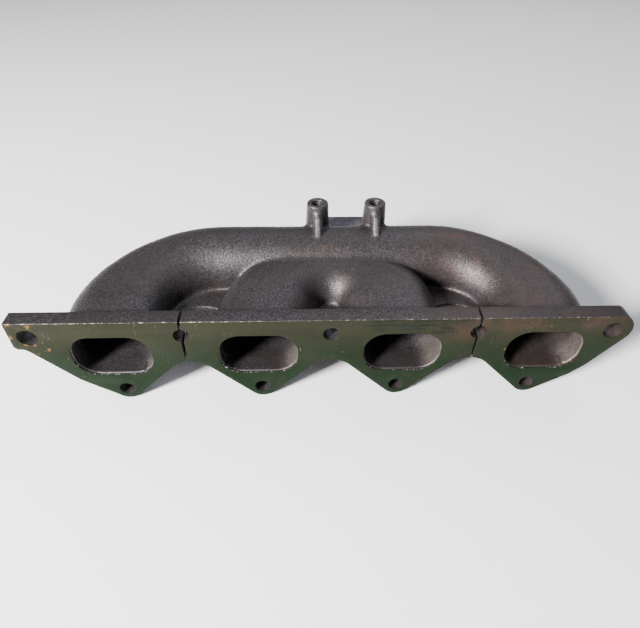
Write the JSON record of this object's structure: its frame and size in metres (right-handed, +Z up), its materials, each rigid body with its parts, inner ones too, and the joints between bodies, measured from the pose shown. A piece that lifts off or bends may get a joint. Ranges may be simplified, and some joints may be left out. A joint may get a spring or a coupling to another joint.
{
  "type": "exhaust manifold",
  "caption": "Cast-iron exhaust manifold: a long saw-cut head flange with rounded ports feeds two nested pipe arches into one collector, with a rear outlet flange and ribbed heat shield posts.",
  "frame": {"origin": "centre of the cylinder head face at the height of the port centres, midway between the two inner ports", "axes": "+X along the cylinder head to the right as seen from the head, +Y away from the head towards the outlet, +Z up towards the heat shield posts"},
  "size_m": [0.3894, 0.13, 0.0925],
  "materials": {
    "cast_skin": "sand-cast",
    "machined_flange": "milled"
  },
  "bodies": {
    "root": {"flange_left": "machined_flange", "flange_centre": "machined_flange", "flange_right": "machined_flange", "port_neck_1": "cast_skin", "port_neck_2": "cast_skin", "port_neck_3": "cast_skin", "port_neck_4": "cast_skin", "runner_1": "cast_skin", "runner_2": "cast_skin", "runner_3": "cast_skin", "runner_4": "cast_skin", "collector_log": "cast_skin", "web_left": "cast_skin", "web_centre": "cast_skin", "web_right": "cast_skin", "outlet_neck": "cast_skin", "outlet_flange": "cast_skin", "shield_post_left": "cast_skin", "shield_post_right": "cast_skin", "post_rib_left": "cast_skin", "post_rib_right": "cast_skin"}
  },
  "joints": []
}
